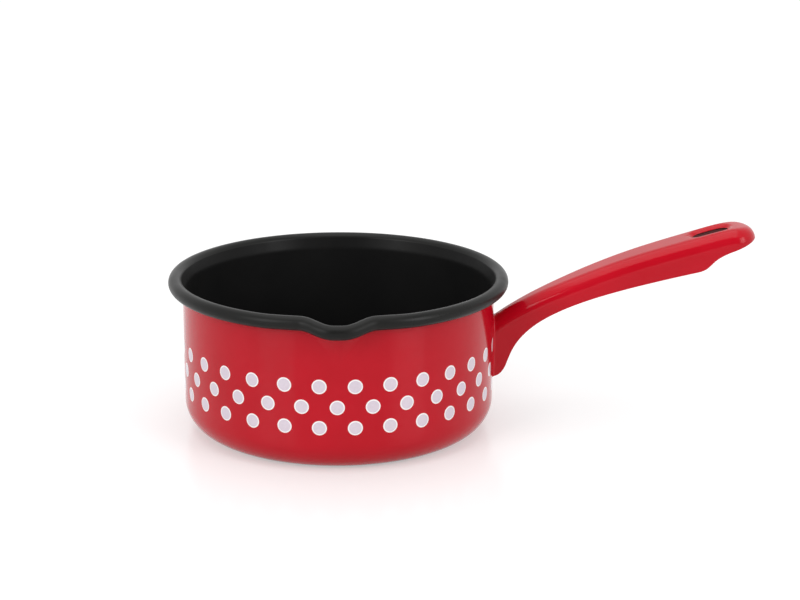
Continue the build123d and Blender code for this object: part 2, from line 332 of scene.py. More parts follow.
@dataclass(frozen=True)
class Enamel:
    """Fired glass enamel: a deep even colour under a wet-looking surface with faint waves.

    Scales are in patterns per metre and depths in metres.
    """

    name: str
    colour: Colour
    shade: Colour
    roughness: float = 0.09
    reflectivity: float = 0.28
    cloud_scale: float = 38.0
    speck_scale: float = 2600.0
    speck_share: float = 0.25
    smear_scale: float = 22.0
    smear_share: float = 0.7
    wave_scale: float = 55.0
    wave_depth: float = 0.000036
    peel_scale: float = 420.0
    peel_depth: float = 0.000004
    pore_scale: float = 3200.0
    pore_depth: float = 0.0000015

    def material(self) -> bpy.types.Material:
        """Makes the finish's material.

        Returns:
            The material.
        """
        nodes = Nodes(bpy.data.materials.new(self.name))
        clouds = nodes.spread(nodes.noise(self.cloud_scale, 3.0), 0.3, 0.7, 0.0, 1.0)
        specks = nodes.spread(nodes.noise(self.speck_scale, 1.0), 0.62, 0.75, 0.0, self.speck_share)
        smears = nodes.noise(self.smear_scale, 4.0, 0.6)
        smeared = self.roughness * (1 + self.smear_share)
        return nodes.surface(nodes.add("BsdfPrincipled", {
            "Base Color": nodes.blend(specks, nodes.blend(clouds, self.colour, self.shade), self.shade),
            "Roughness": nodes.spread(smears, 0.35, 0.7, self.roughness, smeared),
            "Specular IOR Level": self.reflectivity,
            "Normal": nodes.bump([
                (nodes.noise(self.wave_scale, 2.0), self.wave_depth),
                (nodes.noise(self.peel_scale, 1.5), self.peel_depth),
                (nodes.noise(self.pore_scale, 1.0), self.pore_depth),
            ]),
        }))


@dataclass(frozen=True)
class DotEnamel:
    """White enamel printed in a round in a pale lilac, with a painted highlight: a bright halo round its
    edge.

    Scales are in patterns per metre and depths in metres.
    """

    name: str
    # rim is the colour of the painted highlight, the bright halo round the dot's edge; middle is the print's
    # own colour.
    rim: Colour
    middle: Colour
    halo_from_share: float = 0.79
    halo_to_share: float = 0.85
    roughness: float = 0.12
    refraction: float = 1.52
    cloud_scale: float = 900.0
    cloud_shade: float = 0.96
    grain_scale: float = 1500.0
    grain_depth: float = 0.000003

    def material(self) -> bpy.types.Material:
        """Makes the finish's material.

        Returns:
            The material.
        """
        nodes = Nodes(bpy.data.materials.new(self.name))
        round_map = nodes.add("UVMap", {})
        round_map.uv_map = DotRows.round_map
        place = nodes.add("SeparateXYZ", {"Vector": round_map.outputs["UV"]})
        # Painted highlight: the bright halo takes over from this share of the radius outward.
        painted_halo = nodes.spread(place.outputs["X"], self.halo_from_share, self.halo_to_share, 0.0, 1.0)
        clouds = nodes.noise(self.cloud_scale)
        shade = tuple(self.cloud_shade * part for part in self.middle)
        middle = nodes.blend(nodes.spread(clouds, 0.35, 0.65, 0.0, 1.0), self.middle, shade)
        return nodes.surface(nodes.add("BsdfPrincipled", {
            # The painted highlight's bright halo over the print's lilac middle.
            "Base Color": nodes.blend(painted_halo, middle, self.rim),
            "Roughness": nodes.spread(clouds, 0.3, 0.7, self.roughness, self.roughness * 1.5),
            "IOR": self.refraction,
            "Normal": nodes.bump([(nodes.noise(self.grain_scale, 1.5), self.grain_depth)]),
        }))


@dataclass(frozen=True)
class Steel:
    """Bare low-carbon sheet steel, rolled and slightly grey-blue.

    Scales are in patterns per metre and depths in metres.
    """

    name: str
    colour: Colour = (0.36, 0.37, 0.39)
    roughness: float = 0.38
    cloud_scale: float = 60.0
    cloud_shade: float = 0.8
    scratch_scale: float = 1400.0
    scratch_depth: float = 0.000004

    def material(self) -> bpy.types.Material:
        """Makes the finish's material.

        Returns:
            The material.
        """
        nodes = Nodes(bpy.data.materials.new(self.name))
        scratches = nodes.noise(self.scratch_scale, 4.0, 0.7)
        shade = tuple(self.cloud_shade * part for part in self.colour)
        return nodes.surface(nodes.add("BsdfPrincipled", {
            "Metallic": 1.0,
            "Base Color": nodes.blend(nodes.noise(self.cloud_scale, 3.0), self.colour, shade),
            "Roughness": nodes.spread(scratches, 0.3, 0.7, self.roughness, self.roughness * 1.4),
            "Normal": nodes.bump([(scratches, self.scratch_depth)]),
        }))


RED_TONES = (0.560, 0.004, 0.016), (0.515, 0.003, 0.013)
RED = Enamel("red_enamel", *RED_TONES, roughness=0.10, reflectivity=0.20)
HANDLE_RED = Enamel("handle_red_enamel", *RED_TONES, roughness=0.12, reflectivity=0.22)
BLACK_TONES = (0.0090, 0.0090, 0.0091), (0.0108, 0.0107, 0.0105)
BLACK = Enamel("black_enamel", *BLACK_TONES, roughness=0.30, reflectivity=0.09)
RIM_TONES = (0.0085, 0.0088, 0.0083), (0.0120, 0.0118, 0.0110)
RIM_BLACK = Enamel("rim_black_enamel", *RIM_TONES, roughness=0.26, reflectivity=0.16)
GROUND = Enamel("ground_enamel", (0.030, 0.010, 0.010), (0.045, 0.018, 0.015), roughness=0.25)
LINING = Enamel("dark_red_lining", (0.16, 0.012, 0.012), (0.11, 0.012, 0.010), roughness=0.28)
# The first colour is a painted highlight, the bright halo round each dot's edge; the second is the print's
# lilac.
DOTS = DotEnamel("white_dot_enamel", (1.0, 0.96, 0.96), (0.77, 0.68, 0.77))
STEEL = Steel("sheet_steel")


# The bowl and its coats


class Zone(Enum):
    """Stretches of the sheet from the pan's axis to the end of the curl."""

    BASE = "base"
    CORNER = "corner"
    WALL = "wall"
    BEND = "bend"
    FLARE = "flare"
    CURL = "curl"


@dataclass(frozen=True)
class Station:
    """A place across and along the sheet: its stretch, its share of that stretch and its side."""

    zone: Zone
    share: float
    side: float


@dataclass(frozen=True)
class BowlForm:
    """The pressed bowl's shape, with the rolled rim and the pouring lip."""

    bowl_radius: float = 81.0
    bowl_height: float = 81.3
    base_corner_radius: float = 15.0
    steel_thickness: float = 0.9
    enamel_thickness: float = 0.3
    base_coat_angle: float = 15.0
    rim_bead_radius: float = 3.55
    rim_outer_radius: float = 88.3
    rim_flare_angle: float = 20.0
    rim_flare_radius: float = 6.0
    curl_tuck: float = 0.6
    curl_end_gap: float = 0.25
    lip_reach: float = 5.2
    lip_drop: float = 2.3
    lip_flare_angle: float = 35.0
    lip_flare_radius: float = 28.0
    lip_foot_height: float = 54.0
    lip_nose_angle: float = 1.2
    lip_half_angle: float = 12.8
    draw_share: float = 0.12
    draw_angle: float = 14.0
    flute_turn_share: float = 0.8
    flute_bend_share: float = 0.6
    lip_fine_angle: float = 16.0

    @property
    def half_sheet(self) -> float:
        """From the sheet's middle to the face of either coat."""
        return self.steel_thickness / 2 + self.enamel_thickness

    @property
    def steel_side(self) -> float:
        """From the sheet's middle to the face of the steel."""
        return self.steel_thickness / 2

    @property
    def wall_radius(self) -> float:
        """Radius of the sheet's middle in the upright wall."""
        return self.bowl_radius - self.half_sheet

    @property
    def corner_radius(self) -> float:
        """Radius of the sheet's middle round the base corner."""
        return self.base_corner_radius - self.half_sheet

    @property
    def bead_radius(self) -> float:
        """Radius of the sheet's middle round the bead."""
        return self.rim_bead_radius - self.half_sheet

    @property
    def bead_centre_radius(self) -> float:
        """From the pan's axis to the bead's centre line."""
        return self.rim_outer_radius - self.rim_bead_radius

    @property
    def outer_line(self) -> float:
        """From the bead's centre to the outer face of the flared wall."""
        return self.bead_radius - self.half_sheet

    def bead_radius_at(self, side: float) -> float:
        """Radius of one side of the sheet round the bead."""
        return self.bead_radius - side

    def curl_end(self, side: float) -> float:
        """Turn at which that side of the curl meets the flared wall again, in degrees."""
        return -180 + degrees(acos(self.outer_line / self.bead_radius_at(side)))

    @property
    def outer_tuck(self) -> float:
        """How far the outer coat stops short of the bead's tangent."""
        radius = self.bead_radius_at(-self.steel_side)
        return radius * sin(acos(self.outer_line / radius)) - self.curl_tuck * self.enamel_thickness

    @property
    def steel_curl_end(self) -> float:
        """Turn at which the curled steel ends, short of the wall's enamel, in degrees."""
        share = (self.outer_line - self.curl_end_gap) / self.bead_radius_at(-self.steel_side)
        return -180 + degrees(acos(share))

    def lip_share(self, angle: float) -> float:
        """How much of the lip's reach and drop there is at an angle from its middle.

        Args:
            angle: The angle in degrees.

        Returns:
            1 at the nose, a little below 0 where the pressing has drawn the rim in beside it.
        """
        out, flank = abs(angle) - self.lip_nose_angle, self.lip_half_angle - self.lip_nose_angle
        if out <= 0:
            return 1.0
        if out < flank:
            return (1 + self.draw_share) * 0.5 * (1 + cos(pi * out / flank)) - self.draw_share
        past = (out - flank) / self.draw_angle
        return -self.draw_share * 0.5 * (1 + cos(pi * past)) if past < 1 else 0.0

    def lip_turn(self, angle: float, step: float = 0.01) -> float:
        """Angle by which a section turns from the pan's axis to stand square to the bead."""
        rise = (self.lip_share(angle + step) - self.lip_share(angle - step)) / radians(2 * step)
        return -degrees(atan(rise * self.lip_reach / self.centre(angle)))

    def centre(self, angle: float) -> float:
        """From the pan's axis to the bead's centre line at an angle."""
        return self.bead_centre_radius + self.lip_reach * self.lip_share(angle)

    def between(self, plain: float, lip: float, angle: float) -> float:
        """A size that changes from the round rim's to the lip's."""
        return plain + (lip - plain) * self.lip_share(angle)

    def flare_lean(self, angle: float) -> float:
        """Lean of the flared wall from upright, in radians."""
        return radians(self.between(self.rim_flare_angle, self.lip_flare_angle, angle))

    def section_point(self, angle: float, across: float, height: float, turned: float = 1.0) -> Vector:
        """A point of an upright section through the bead's centre line.

        Args:
            angle: The section's angle from the lip.
            across: Outward distance from the bead's centre line.
            height: Height above the table.
            turned: How much of the section's turn is taken.

        Returns:
            The place in millimetres.
        """
        stand, face = radians(angle - 90), radians(angle - 90 + self.lip_turn(angle) * turned)
        centre = self.centre(angle)
        x, y = centre * cos(stand) + across * cos(face), centre * sin(stand) + across * sin(face)
        return Vector((x, y, height))

    def bead_point(self, angle: float, radius: float, turn: float) -> tuple[float, float]:
        """A point round the bead.

        Args:
            angle: The section's angle from the lip.
            radius: Distance from the bead's centre.
            turn: Turn round the bead in degrees, counted from the flared wall.

        Returns:
            The distance out from the bead's centre line, and the height.
        """
        height = self.bowl_height - self.rim_bead_radius - self.lip_drop * self.lip_share(angle)
        way = radians(turn) - self.flare_lean(angle)
        return radius * cos(way), height + radius * sin(way)

    def wall_places(self, angle: float, side: float) -> tuple[float, float, float, tuple[float, float]]:
        """Where one side of the wall runs in a section.

        Args:
            angle: The section's angle from the lip.
            side: Place across the sheet.

        Returns:
            The upright wall's place across, the height where the bend starts, its radius, and
            the point where the flared wall meets the bead.
        """
        lean = self.flare_lean(angle)
        bend = self.between(self.rim_flare_radius, self.lip_flare_radius, angle) - side
        centre = self.centre(angle)
        along = centre * cos(radians(self.lip_turn(angle) * self.flute_turn_share))
        wall = -(along - sqrt(along**2 - centre**2 + (self.wall_radius + side) ** 2))
        tangent = self.bead_point(angle, self.bead_radius_at(side), 180)
        knee = tangent[1] - (tangent[0] - wall) / tan(lean)
        return wall, knee - bend * tan(lean / 2), bend, tangent

    def point(self, angle: float, station: Station, tuck: float, curl_end: float) -> Vector:
        """The place of a station in the section at an angle.

        Args:
            angle: The section's angle from the lip.
            station: Which place of the sheet.
            tuck: How far the flare stops short of the bead.
            curl_end: Turn at which the curl ends.

        Returns:
            The place in millimetres.
        """
        side, share = station.side, station.share
        flat = self.wall_radius - self.corner_radius
        if station.zone in (Zone.BASE, Zone.CORNER):
            radius, height = flat * share, self.half_sheet - side
            if station.zone is Zone.CORNER:
                way, corner = radians(90 * share), self.corner_radius + side
                radius, height = flat + corner * sin(way), height + corner * (1 - cos(way))
            stand = radians(angle - 90)
            return Vector((radius * cos(stand), radius * sin(stand), height))
        wall, start, bend, tangent = self.wall_places(angle, side)
        lean = self.flare_lean(angle)
        if station.zone is Zone.WALL:
            bottom = self.half_sheet + self.corner_radius
            height = bottom + (start - bottom) * share
            crossing = self.section_point(angle, wall, height, self.flute_turn_share)
            turned = degrees(atan2(crossing.y, crossing.x)) + 90
            drift = (turned - angle + 180) % 360 - 180
            eased = min(1.0, (height - bottom) / (self.lip_foot_height - bottom))
            stand = radians(angle - 90 + drift * eased)
            radius = self.wall_radius + side
            return Vector((radius * cos(stand), radius * sin(stand), height))
        rest = 1 - self.flute_turn_share
        if station.zone is Zone.BEND:
            way = lean * share
            turned = self.flute_turn_share + rest * self.flute_bend_share * share
            return self.section_point(angle, wall + bend * (1 - cos(way)), start + bend * sin(way), turned)
        if station.zone is Zone.FLARE:
            end = (wall + bend * (1 - cos(lean)), start + bend * sin(lean))
            stop = (tangent[0] - tuck * sin(lean), tangent[1] - tuck * cos(lean))
            across = end[0] + (stop[0] - end[0]) * share
            turned = 1 - rest * (1 - self.flute_bend_share) * (1 - share)
            return self.section_point(angle, across, end[1] + (stop[1] - end[1]) * share, turned)
        turn = 180 + (curl_end - 180) * share
        return self.section_point(angle, *self.bead_point(angle, self.bead_radius_at(side), turn))


@dataclass
class PanCoats:
    """The coats of enamel on the bowl, each a thin closed shell pressed with the lip."""

    form: BowlForm = field(default_factory=BowlForm)
    columns: int = 360
    lip_columns: int = 100
    base_rows: int = 6
    hidden_base_rows: int = 2
    core_base_rows: int = 3
    under_rows: int = 4
    corner_rows: int = 14
    wall_rows: int = 12
    bend_rows: int = 8
    flare_rows: int = 4
    curl_rows: int = 40
    hidden_curl_rows: int = 24
    core_curl_rows: int = 20

    def column_angle(self, share: float) -> float:
        """Angle of a column from its share of the turn, with the lip's columns closer together.

        Args:
            share: From -0.5 to 0.5, 0 at the lip.

        Returns:
            The angle from the lip in degrees.
        """
        fine_share = self.lip_columns / self.columns / 2
        out = abs(share)
        if out <= fine_share:
            angle = self.form.lip_fine_angle * out / fine_share
        else:
            rest = (out - fine_share) / (0.5 - fine_share)
            angle = self.form.lip_fine_angle + (180 - self.form.lip_fine_angle) * rest
        return angle if share >= 0 else -angle

    @staticmethod
    def stretch(zone: Zone, side: float, steps: int, start: float = 0.0, end: float = 1.0) -> list[Station]:
        """Stations along one stretch of the sheet.

        Args:
            zone: Which stretch.
            side: Place across the sheet.
            steps: How many steps it is divided in.
            start: Share at which it starts.
            end: Share at which it ends.

        Returns:
            The stations, both ends included.
        """
        return [Station(zone, start + (end - start) * step / steps, side) for step in range(steps + 1)]

    def coat(self, name: str, outline: Sequence[Station], closed: bool, tuck: float = 0.0,
             curl_ends: Optional[dict[float, float]] = None) -> bpy.types.Object:
        """Turns an outline round the pan and presses the lip into it.

        Args:
            name: Name of the piece.
            outline: Stations round the coat's section.
            closed: Whether the outline closes on itself, clear of the axis.
            tuck: How far the flare stops short of the bead.
            curl_ends: For each side, the turn at which its curl ends.

        Returns:
            The piece.
        """
        ends = curl_ends or {}
        plain = [self.form.point(180.0, station, tuck, ends.get(station.side, 0.0)) for station in outline]
        piece = Bench.line(name, [point * MM for point in plain], closed)
        Bench.spin(piece, self.columns)
        stations = piece.data.attributes["station"].data
        for vertex in piece.data.vertices:
            if hypot(vertex.co.x, vertex.co.y) < SAME_PLACE:
                continue
            share = atan2(vertex.co.x, -vertex.co.y) / (2 * pi)
            station = outline[stations[vertex.index].value]
            angle = self.column_angle(share)
            vertex.co = self.form.point(angle, station, tuck, ends.get(station.side, 0.0)) * MM
        piece.data.attributes.remove(piece.data.attributes["station"])
        Bench.face_out(piece)
        return piece

    def wall_side(self, side: float, corner_start: float) -> list[Station]:
        """Stations up one side of the sheet, from the base corner to the bead.

        Args:
            side: Place across the sheet.
            corner_start: Share of the base corner at which they start.

        Returns:
            The stations.
        """
        return (
            self.stretch(Zone.CORNER, side, self.corner_rows, corner_start)[:-1]
            + self.stretch(Zone.WALL, side, self.wall_rows)[:-1]
            + self.stretch(Zone.BEND, side, self.bend_rows)[:-1]
            + self.stretch(Zone.FLARE, side, self.flare_rows)
        )

    def inner(self) -> bpy.types.Object:
        """The black coat inside, from the middle of the base to the bead.

        Returns:
            The piece.
        """
        form, sides = self.form, []
        for side, rows in ((form.half_sheet, self.base_rows), (form.steel_side, self.hidden_base_rows)):
            sides.append(self.stretch(Zone.BASE, -side, rows)[:-1] + self.wall_side(-side, 0.0))
        return self.coat("inside_coat", sides[0] + sides[1][::-1], closed=False)

    def outer(self) -> bpy.types.Object:
        """The red coat on the wall, from the corner up to behind the bead.

        Returns:
            The piece.
        """
        form = self.form
        start = form.base_coat_angle / 90
        face, back = (self.wall_side(side, start) for side in (form.half_sheet, form.steel_side))
        return self.coat("outside_coat", face + back[::-1], closed=True, tuck=form.outer_tuck)

    def core(self) -> bpy.types.Object:
        """The steel sheet between the coats, with its curled edge.

        Returns:
            The piece.
        """
        form = self.form
        sides = []
        for side in (-form.steel_side, form.steel_side):
            wall = self.stretch(Zone.BASE, side, self.core_base_rows)[:-1] + self.wall_side(side, 0.0)
            sides.append(wall[:-1] + self.stretch(Zone.CURL, side, self.core_curl_rows))
        ends = {side: form.steel_curl_end for side in (-form.steel_side, form.steel_side)}
        return self.coat("steel_core", sides[0] + sides[1][::-1], closed=False, curl_ends=ends)

    def base(self) -> bpy.types.Object:
        """The black coat under the base.

        Returns:
            The piece.
        """
        form = self.form
        end = form.base_coat_angle / 90
        sides = []
        for side in (form.half_sheet, form.steel_side):
            flat = self.stretch(Zone.BASE, side, self.under_rows)
            sides.append(flat[:-1] + self.stretch(Zone.CORNER, side, self.under_rows, 0.0, end))
        return self.coat("base_coat", sides[0] + sides[1][::-1], closed=False)

    def rim(self) -> bpy.types.Object:
        """The black coat round the rolled bead.

        Returns:
            The piece.
        """
        form = self.form
        face = self.stretch(Zone.CURL, -form.half_sheet, self.curl_rows)
        back = self.stretch(Zone.CURL, -form.steel_side, self.hidden_curl_rows)
        ends = {side: form.curl_end(side) for side in (-form.half_sheet, -form.steel_side)}
        return self.coat("rim_coat", face + back[::-1], closed=True, curl_ends=ends)


@dataclass
class DotRows:
    """Three staggered rows of round dots, fired on over the red coat."""

    dot_radius: float = 3.7
    dot_thickness: float = 0.12
    edge_width: float = 0.45
    dots_round_the_pan: int = 29
    middle_row_height: float = 34.8
    row_pitch: float = 10.6
    phase_angle: float = -0.45
    root_half_width: float = 9.2
    root_foot_height: float = 25.9
    bowl_radius: float = 81.0
    corners: int = 32
    sharp_angle: float = 60.0
    round_map = "round_map"

    def dot(self) -> bpy.types.Object:
        """One dot, flat and centred at the origin, its face up.

        Returns:
            The piece.
        """
        Bench.clear()
        radius, lift, edge = self.dot_radius * MM, self.dot_thickness * MM, self.edge_width * MM / 2
        bpy.ops.mesh.primitive_circle_add(vertices=self.corners, radius=radius, fill_type="NGON")
        dot = bpy.context.object
        with Bench.editing(dot):
            bpy.ops.mesh.extrude_region_move(TRANSFORM_OT_translate={"value": (0, 0, lift / 3)})
            for width, depth in ((edge, lift / 3), (edge, lift / 4), (radius / 3, 0), (radius / 4, 0)):
                bpy.ops.mesh.inset(thickness=width, depth=depth)
            bpy.ops.mesh.poke()
        uv = dot.data.uv_layers.new(name=self.round_map)
        for loop in dot.data.loops:
            place = dot.data.vertices[loop.vertex_index].co
            turn = atan2(place.y, place.x) / (2 * pi)
            uv.data[loop.index].uv = (hypot(place.x, place.y) / radius, turn + 0.5)
        return dot

    def row(self, name: str, height: float, phase: float) -> bpy.types.Object:
        """A row of dots laid round the wall.

        Args:
            name: Name of the piece.
            height: Height of the dots' middles.
            phase: Angle of the first dot from the handle's side.

        Returns:
            The row as one piece.
        """
        flat = self.dot()
        step = 360 / self.dots_round_the_pan
        clear = degrees(atan((self.root_half_width + self.dot_radius) / self.bowl_radius))
        low = height + self.dot_radius < self.root_foot_height
        dots = []
        for count in range(self.dots_round_the_pan):
            angle = (phase + step * count + 180) % 360 - 180
            if not low and abs(angle) <= clear:
                continue
            dot = flat.copy()
            dot.data = flat.data.copy()
            bpy.context.collection.objects.link(dot)
            for vertex in dot.data.vertices:
                way = radians(angle) + vertex.co.x / (self.bowl_radius * MM)
                radius = self.bowl_radius * MM + vertex.co.z
                vertex.co = Vector((radius * cos(way), radius * sin(way), height * MM + vertex.co.y))
            dots.append(dot)
        bpy.data.objects.remove(flat)
        Bench.take(dots[0])
        for dot in dots:
            dot.select_set(True)
        bpy.ops.object.join()
        dots[0].name = dots[0].data.name = name
        Bench.face_out(dots[0], self.sharp_angle)
        return dots[0]

    def rows(self) -> dict[str, bpy.types.Object]:
        """Lays the three rows.

        Returns:
            The rows, by the name of the CAD node that each replaces.
        """
        half_step = 180 / self.dots_round_the_pan
        middle = self.phase_angle - 90
        return {
            "upper_dots": self.row("upper_row", self.middle_row_height + self.row_pitch, middle + half_step),
            "middle_dots": self.row("middle_row", self.middle_row_height, middle),
            "lower_dots": self.row("lower_row", self.middle_row_height - self.row_pitch, middle + half_step),
        }


# The handle


class Spline:
    """A smooth line through points, as a bent steel rule takes it."""

    def __init__(self, points: Sequence[tuple[float, float]], steps: int = 60) -> None:
        """Bends the rule.

        Args:
            points: The points, with growing x.
            steps: Straight steps between neighbouring points.
        """
        places = [0.0]
        for before, after in zip(points, points[1:]):
            places.append(places[-1] + hypot(after[0] - before[0], after[1] - before[1]))
        columns = [self.bend(places, [point[axis] for point in points]) for axis in (0, 1)]
        self.line: list[tuple[float, float]] = []
        for piece in range(len(points) - 1):
            gap = places[piece + 1] - places[piece]
            for step in range(steps + (piece == len(points) - 2)):
                share = step / steps
                self.line.append(tuple(self.cubic(column, piece, gap, share) for column in columns))

    @staticmethod
    def bend(places: Sequence[float], values: Sequence[float]) -> tuple[list[float], list[float]]:
        """Slopes that give the line no kink in its curvature.

        Args:
            places: Distances along the points.
            values: One coordinate of the points.

        Returns:
            The values and the slopes at the points.
        """
        count = len(places)
        gaps = [after - before for before, after in zip(places, places[1:])]
        rises = [(after - before) / gap for before, after, gap in zip(values, values[1:], gaps)]
        first = rises[0] - (rises[1] - rises[0]) * gaps[0] / (gaps[0] + gaps[1])
        last = rises[-1] + (rises[-1] - rises[-2]) * gaps[-1] / (gaps[-1] + gaps[-2])
        slopes = [first] + [0.0] * (count - 2) + [last]
        carried, sums = [0.0] * count, [0.0] * count
        sums[0] = first
        for place in range(1, count - 1):
            before, after = gaps[place - 1], gaps[place]
            target = 3 * (after * rises[place - 1] + before * rises[place])
            pivot = 2 * (before + after) - after * carried[place - 1]
            carried[place] = before / pivot
            sums[place] = (target - after * sums[place - 1]) / pivot
        for place in range(count - 2, 0, -1):
            slopes[place] = sums[place] - carried[place] * slopes[place + 1]
        return list(values), slopes

    @staticmethod
    def cubic(column: tuple[list[float], list[float]], piece: int, gap: float, share: float) -> float:
        """One coordinate at a share of the way between two points.

        Args:
            column: Its values and slopes at the points.
            piece: Which pair of points.
            gap: Distance between them.
            share: Share of the way.

        Returns:
            The coordinate.
        """
        values, slopes = column
        squared, cubed = share**2, share**3
        return (
            (2 * cubed - 3 * squared + 1) * values[piece]
            + (cubed - 2 * squared + share) * gap * slopes[piece]
            + (3 * squared - 2 * cubed) * values[piece + 1]
            + (cubed - squared) * gap * slopes[piece + 1]
        )

    def at(self, x: float) -> float:
        """Height of the line at x."""
        return self.at_with_slope(x)[0]

    def at_with_slope(self, x: float) -> tuple[float, float]:
        """Looks the line up at x.

        Args:
            x: Place along it.

        Returns:
            Its height and slope there.
        """
        place = min(max(bisect_right(self.line, (x, 1e9)) - 1, 0), len(self.line) - 2)
        (x0, y0), (x1, y1) = self.line[place], self.line[place + 1]
        slope = (y1 - y0) / (x1 - x0)
        return y0 + (x - x0) * slope, slope


@dataclass
class HandleForm:
    """The pressed channel's outside: crown line, plan, lower edge, shoulder and hanging hole."""

    bowl_radius: float = 81.0
    reach: float = 138.0
    root_height: float = 57.0
    rise: float = 49.0
    root_half_width: float = 8.2
    grip_half_width: float = 14.5
    shoulder_radius: float = 7.5
    root_start: float = 79.5
    root_end: float = 80.4
    hole_length: float = 19.0
    hole_width: float = 9.6
    hole_place_share: float = 0.812
    dish_width: float = 2.6
    dish_depth: float = 1.25
    crown_shares: Shares = (
        (-0.08, -0.18), (0.0, 0.0), (0.08, 0.148), (0.25, 0.390), (0.50, 0.676), (0.79, 0.927),
        (0.90, 0.998), (1.0, 0.985),
    )
    side_edge_shares: Shares = (
        (-0.01, -0.630), (0.020, -0.604), (0.0406, -0.535), (0.0543, -0.439), (0.0739, -0.306),
        (0.14, -0.080), (0.23, 0.088), (0.41, 0.296), (0.59, 0.44), (0.762, 0.558),
    )
    tip_edge_shares: Shares = (
        (0.762, 0.558), (0.79, 0.595), (0.815, 0.665), (0.85, 0.735), (0.93, 0.825), (1.0, 0.895),
    )
    tip_length_share: float = 0.86
    width_shares: Shares = ((-0.1, 0.0), (0.0, 0.0), (0.12, 0.12), (0.30, 0.50), (0.55, 0.80))

    def __post_init__(self) -> None:
        """Bends the lines that the shape follows."""
        self.crown = Spline([self.share_point(shares) for shares in self.crown_shares])
        self.side_edge = Spline([self.share_point(shares) for shares in self.side_edge_shares])
        self.tip_edge = Spline([self.share_point(shares) for shares in self.tip_edge_shares])
        self.tip_centre = self.bowl_radius + self.reach - self.grip_half_width
        widening = self.grip_half_width - self.root_half_width
        plan = [
            (self.bowl_radius + self.reach * x, self.root_half_width + widening * y)
            for x, y in self.width_shares
        ]
        grip = self.grip_half_width
        self.plan = Spline([*plan, (self.tip_centre, grip), (self.tip_centre + grip / 2, grip)])
        self.hole_x = self.bowl_radius + self.reach * self.hole_place_share

    def share_point(self, shares: tuple[float, float]) -> tuple[float, float]:
        """A point of the side view from its shares of the reach and the rise."""
        return self.bowl_radius + self.reach * shares[0], self.root_height + self.rise * shares[1]

    def lower_edge(self, x: float) -> float:
        """Height of the sides' lower edge at x."""
        corner = self.share_point(self.tip_edge_shares[0])[0]
        return self.side_edge.at(x) if x <= corner else self.tip_edge.at(x)

    def hole_distance(self, x: float, y: float) -> float:
        """From a place in plan to the hanging hole's edge.

        Args:
            x: Place along the handle.
            y: Place across it.

        Returns:
            The distance, below zero inside the hole.
        """
        half = (self.hole_length - self.hole_width) / 2
        along = max(abs(x - self.hole_x) - half, 0.0)
        return hypot(along, y) - self.hole_width / 2

    def top(self, x: float, y: float, inset: float) -> tuple[Vector, Vector]:
        """A point of the crown surface, moved in by inset, with the dish round the hole.

        Args:
            x: Place along the handle.
            y: Place across it.
            inset: How far inside the outer face.

        Returns:
            The point in millimetres, and the direction out of the surface.
        """
        height, slope = self.crown.at_with_slope(x)
        lean = atan(slope)
        normal = Vector((-sin(lean), 0.0, cos(lean)))
        away = max(0.0, self.hole_distance(x, y))
        share = max(0.0, 1.0 - away / self.dish_width)
        point = Vector((x, y, height)) - normal * (inset + self.dish_depth * share * share)
        return point, normal

    def ball(self, x: float, inset: float, radius: float) -> tuple[Vector, Vector]:
        """Centre height and contact direction of a ball that rolls under the crown.

        Args:
            x: Where the ball's centre is along the handle.
            inset: How far inside the outer face the sheet's face lies.
            radius: The ball's radius.

        Returns:
            A point at the centre's height, and the direction to where the ball touches.
        """
        foot = x
        for _ in range(4):
            foot = x - (inset + radius) * sin(atan(self.crown.at_with_slope(foot)[1]))
        height, slope = self.crown.at_with_slope(foot)
        lean = atan(slope)
        normal = Vector((-sin(lean), 0.0, cos(lean)))
        return Vector((foot, 0.0, height)) - normal * (inset + radius), normal


@dataclass(frozen=True)
class RibPlace:
    """Where a rib stands across the near half of the channel.

    Its foot is given by how far along the side it is and how far round the tip, in degrees, and
    its other end by how far along the middle line and round the hole it is.
    """

    along: float
    turn: float
    way: float


